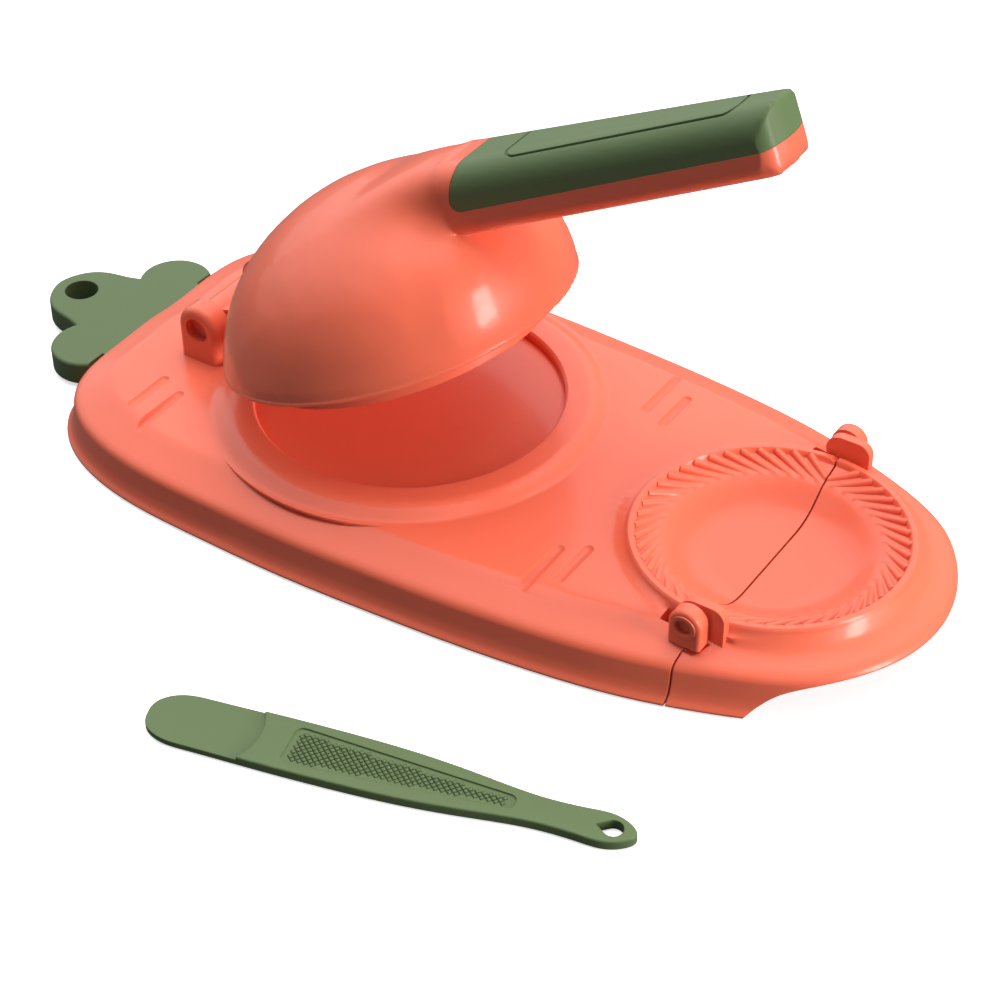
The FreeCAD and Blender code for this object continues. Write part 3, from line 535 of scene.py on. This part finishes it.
def stud_group():
    """Geometry group that sets a four-sided stud on each point, and its inputs' identifiers."""
    group = bpy.data.node_groups.new("Grip Studs", "GeometryNodeTree")
    face = group.interface
    face.new_socket("Geometry", in_out="INPUT", socket_type="NodeSocketGeometry")
    keys = {
        name: face.new_socket(name, in_out="INPUT", socket_type=kind).identifier
        for name, kind in (
            ("Size", "NodeSocketFloat"),
            ("Height", "NodeSocketFloat"),
            ("Turn", "NodeSocketFloat"),
            ("Material", "NodeSocketMaterial"),
        )
    }
    face.new_socket("Geometry", in_out="OUTPUT", socket_type="NodeSocketGeometry")
    start = add_node(group, "NodeGroupInput", (-600, 0))
    cone = add_node(
        group, "GeometryNodeMeshCone", (-380, 0), Vertices=4, Radius_Top=STUD_TOP_RADIUS)
    spin = add_node(group, "ShaderNodeCombineXYZ", (-160, 0))
    spread = add_node(group, "GeometryNodeInstanceOnPoints", (60, 0))
    real = add_node(group, "GeometryNodeRealizeInstances", (280, 0))
    paint = add_node(group, "GeometryNodeSetMaterial", (500, 0))
    end = add_node(group, "NodeGroupOutput", (720, 0))
    links = group.links
    links.new(start.outputs["Size"], cone.inputs["Radius Bottom"])
    links.new(start.outputs["Height"], cone.inputs["Depth"])
    links.new(start.outputs["Turn"], spin.inputs["Z"])
    links.new(start.outputs["Geometry"], spread.inputs["Points"])
    links.new(cone.outputs["Mesh"], spread.inputs["Instance"])
    links.new(spin.outputs["Vector"], spread.inputs["Rotation"])
    links.new(spread.outputs["Instances"], real.inputs["Geometry"])
    links.new(real.outputs["Geometry"], paint.inputs["Geometry"])
    links.new(start.outputs["Material"], paint.inputs["Material"])
    links.new(paint.outputs["Geometry"], end.inputs["Geometry"])
    return group, keys


def stud_points(pitch):
    """Every other point of a grid on the floor of the grip's recess."""
    place = Matrix.Translation(SPATULA_PLACE) @ Matrix.Rotation(SPATULA_TURN, 4, "Z")
    step = pitch / 2
    rows = int(GRIP_HALF_WIDE / step)
    points = []
    for i in range(int(STUDS_LENGTH / step)):
        along = STUDS_START + i * step
        taper = (GRIP_HALF_NARROW - GRIP_HALF_WIDE) * (along - GRIP_START) / GRIP_LENGTH
        half = GRIP_HALF_WIDE + taper - GRIP_MARGIN
        for j in range(-rows, rows + 1):
            across = j * step
            if (i + j) % 2 == 0 and abs(across) < half:
                points.append(place @ Vector((along, across, GRIP_FLOOR)))
    return points


class PRESS_OT_spatula(bpy.types.Operator):
    """Adds the spatula and the studs of its grip"""
    bl_idname = "press.spatula"
    bl_label = "Spatula"

    def execute(self, context):
        settings = context.scene.press.spatula
        dress("spatula", "Spatula", "spatula", green())
        cloud = bpy.data.meshes.new("Grip Points")
        cloud.from_pydata(stud_points(settings.pitch), [], [])
        studs = bpy.data.objects.new("Grip_Studs", cloud)
        context.scene.collection.objects.link(studs)
        group, keys = stud_group()
        spread = studs.modifiers.new("Studs", "NODES")
        spread.node_group = group
        spread[keys["Size"]] = settings.pitch / 2
        spread[keys["Height"]] = settings.stud
        spread[keys["Turn"]] = SPATULA_TURN
        spread[keys["Material"]] = green()
        if len(plain_mesh(studs).polygons) < FEWEST_STUD_FACES:
            raise RuntimeError("the grip has no studs")
        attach(studs, "spatula")
        return {"FINISHED"}


# Stage

def area_light(name, power, place, size, colour, glossy):
    """A rectangular lamp that faces the press, seen in its gloss or not."""
    data = bpy.data.lights.new(name, "AREA")
    data.shape = "RECTANGLE"
    data.size, data.size_y = size
    data.energy = power
    data.color = colour
    lamp = bpy.data.objects.new(name, data)
    lamp.location = place
    lamp.rotation_euler = (LAMP_AIM - Vector(place)).to_track_quat("-Z", "Y").to_euler()
    lamp.visible_glossy = glossy
    bpy.context.scene.collection.objects.link(lamp)


def stage_world(fill, sky):
    """Dim surroundings with one bright quarter that light the press, and pure white behind it."""
    world = bpy.data.worlds.new("Studio")
    bpy.context.scene.world = world
    world.use_nodes = True
    tree = world.node_tree
    tree.nodes.clear()
    out = add_node(tree, "ShaderNodeOutputWorld", (600, 0))
    mix = add_node(tree, "ShaderNodeMixShader", (400, 0))
    path = add_node(tree, "ShaderNodeLightPath", (0, 250))
    coords = add_node(tree, "ShaderNodeTexCoord", (-600, 0))
    side = add_node(tree, "ShaderNodeVectorMath", (-400, 0))
    side.operation = "DOT_PRODUCT"
    side.inputs[1].default_value = SKY_MIDDLE
    spread = add_node(
        tree, "ShaderNodeMapRange", (-200, 0), From_Min=SKY_END, To_Min=fill, To_Max=sky)
    spread.interpolation_type = "SMOOTHSTEP"
    dim = add_node(tree, "ShaderNodeBackground", (150, 0), Color=PALE_SKY)
    white = add_node(tree, "ShaderNodeBackground", (150, -150), Color=WHITE, Strength=1.0)
    tree.links.new(coords.outputs["Generated"], side.inputs[0])
    tree.links.new(side.outputs["Value"], spread.inputs["Value"])
    tree.links.new(spread.outputs["Result"], dim.inputs["Strength"])
    tree.links.new(path.outputs["Is Camera Ray"], mix.inputs["Fac"])
    tree.links.new(dim.outputs["Background"], mix.inputs[1])
    tree.links.new(white.outputs["Background"], mix.inputs[2])
    tree.links.new(mix.outputs["Shader"], out.inputs["Surface"])


def stage_floor():
    """A floor that is white to the camera, keeps the press's shadow and casts little light back."""
    far = FLOOR_HALF_SIDE
    corners = [(-far, -far, 0), (far, -far, 0), (far, far, 0), (-far, far, 0)]
    mesh = bpy.data.meshes.new("Floor")
    mesh.from_pydata(corners, [], [(0, 1, 2, 3)])
    floor = bpy.data.objects.new("Floor", mesh)
    floor.location.z = -FLOOR_DROP
    bpy.context.scene.collection.objects.link(floor)
    material, tree, body = blank_material("White Floor")
    body.inputs["Roughness"].default_value = 0.9
    body.inputs["Specular IOR Level"].default_value = 0.1
    body.inputs["Emission Color"].default_value = WHITE
    path = add_node(tree, "ShaderNodeLightPath", (-700, 0))
    tone = add_node(tree, "ShaderNodeMapRange", (-450, 150), To_Min=0.10, To_Max=0.92)
    glow = add_node(tree, "ShaderNodeMapRange", (-450, -150), To_Min=0.0, To_Max=0.62)
    tree.links.new(path.outputs["Is Camera Ray"], tone.inputs["Value"])
    tree.links.new(path.outputs["Is Camera Ray"], glow.inputs["Value"])
    tree.links.new(tone.outputs["Result"], body.inputs["Base Color"])
    tree.links.new(glow.outputs["Result"], body.inputs["Emission Strength"])
    mesh.materials.append(material)


def stage_camera():
    """A camera that stands where the photograph was taken from."""
    level = math.cos(CAMERA_RISE)
    back = Vector(
        (math.sin(CAMERA_TURN) * level, -math.cos(CAMERA_TURN) * level, math.sin(CAMERA_RISE)))
    right = Vector((math.cos(CAMERA_TURN), math.sin(CAMERA_TURN), 0))
    up = back.cross(right)
    across = math.cos(CAMERA_ROLL) * right + math.sin(CAMERA_ROLL) * up
    upward = -math.sin(CAMERA_ROLL) * right + math.cos(CAMERA_ROLL) * up
    data = bpy.data.cameras.new("Camera")
    data.lens, data.sensor_width = CAMERA_LENS, CAMERA_SENSOR
    data.clip_start, data.clip_end = CAMERA_NEAR, CAMERA_FAR
    camera = bpy.data.objects.new("Camera", data)
    place = Matrix.Translation(CAMERA_AIM + back * CAMERA_DISTANCE)
    camera.matrix_world = place @ Matrix((across, upward, back)).transposed().to_4x4()
    bpy.context.scene.collection.objects.link(camera)
    bpy.context.scene.camera = camera


class PRESS_OT_stage(bpy.types.Operator):
    """Adds the floor, the lights and the camera"""
    bl_idname = "press.stage"
    bl_label = "Stage"

    def execute(self, context):
        settings = context.scene.press.stage
        context.scene.view_settings.view_transform = "Standard"
        stage_world(settings.fill, settings.sky)
        stage_floor()
        area_light(
            "Window", settings.window,
            place=(1.35, 0.02, 0.42), size=(0.28, 0.76), colour=(1.0, 0.97, 0.94), glossy=True)
        area_light(
            "Bounce", BOUNCE_SHARE * settings.window,
            place=(1.2, 0.3, 0.22), size=(0.8, 0.4), colour=(1.0, 0.96, 0.95), glossy=False)
        area_light(
            "Overhead", settings.overhead,
            place=(0.0, 0.25, 1.3), size=(1.1, 1.1), colour=(1.0, 0.98, 0.96), glossy=False)
        stage_camera()
        return {"FINISHED"}


OPERATORS = (
    PRESS_OT_tray, PRESS_OT_lid, PRESS_OT_green, PRESS_OT_fixings, PRESS_OT_spatula, PRESS_OT_stage,
)


class PRESS_PT_panel(bpy.types.Panel):
    """Dumpling press settings"""
    bl_idname = "PRESS_PT_panel"
    bl_label = "Dumpling Press"
    bl_space_type = "VIEW_3D"
    bl_region_type = "UI"
    bl_category = "Dumpling Press"

    def draw(self, context):
        settings = context.scene.press
        for part in (settings.coral, settings.green, settings.spatula, settings.stage):
            column = self.layout.column()
            for key in part.bl_rna.properties.keys():
                if key not in ("rna_type", "name"):
                    column.prop(part, key)
        for kind in OPERATORS:
            self.layout.operator(kind.bl_idname)


CLASSES = (
    PressCoralSettings, PressGreenSettings, PressSpatulaSettings, PressStageSettings, PressSettings,
    *OPERATORS, PRESS_PT_panel,
)


def register():
    for kind in CLASSES:
        bpy.utils.register_class(kind)
    bpy.types.Scene.press = bpy.props.PointerProperty(
        name="Dumpling Press", description="Press settings", type=PressSettings)


def unregister():
    del bpy.types.Scene.press
    for kind in reversed(CLASSES):
        bpy.utils.unregister_class(kind)


def main():
    register()
    bpy.ops.press.tray()
    bpy.ops.press.lid()
    bpy.ops.press.green()
    bpy.ops.press.fixings()
    bpy.ops.press.spatula()
    bpy.ops.press.stage()


if __name__ == "__main__":
    main()
